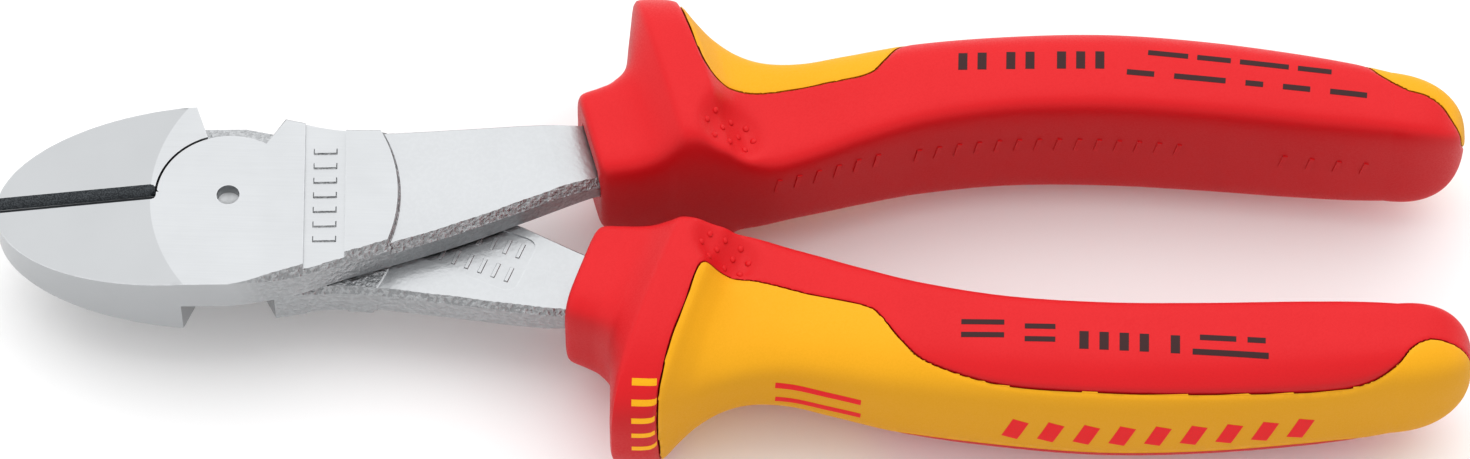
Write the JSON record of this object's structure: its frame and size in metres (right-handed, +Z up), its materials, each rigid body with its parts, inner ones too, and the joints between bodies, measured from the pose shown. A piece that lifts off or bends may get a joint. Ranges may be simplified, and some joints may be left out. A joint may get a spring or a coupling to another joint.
{
  "type": "diagonal cutting pliers",
  "caption": "High-leverage diagonal cutting pliers with a lap joint, bevelled jaws and layered insulated grips with finger guards.",
  "frame": {"origin": "middle of the base: centred in length and width, at the height of the surface that the closed pliers lie on", "axes": "+X along the handles, away from the jaws; +Y across, towards the front lever's handle; +Z up, along the joint's axis, towards the front face"},
  "size_m": [0.18, 0.0626, 0.025],
  "materials": {
    "forged_steel": "satin chrome plate over forged and ground steel",
    "axle_steel": "turned steel",
    "red_grip": "satin moulded",
    "yellow_grip": "soft matt moulded",
    "yellow_insulation": "satin moulded"
  },
  "bodies": {
    "rear_half": {"rear_lever": "forged_steel", "rear_grip_inner_sleeve": "yellow_insulation", "rear_grip_outer_sleeve": "red_grip", "rear_grip_soft_panel": "yellow_grip"},
    "front_half": {"front_lever": "forged_steel", "joint_axle": "axle_steel", "axle_ring": "axle_steel", "front_grip_inner_sleeve": "yellow_insulation", "front_grip_outer_sleeve": "red_grip", "front_grip_soft_panel": "yellow_grip"}
  },
  "joints": [
    {"name": "jaw_pivot", "type": "hinge", "parent": "rear_half", "child": "front_half", "pos_m": [-0.06142, 0, 0.0125], "axis": [0, 0, 1], "range_deg": [0, 40]}
  ]
}
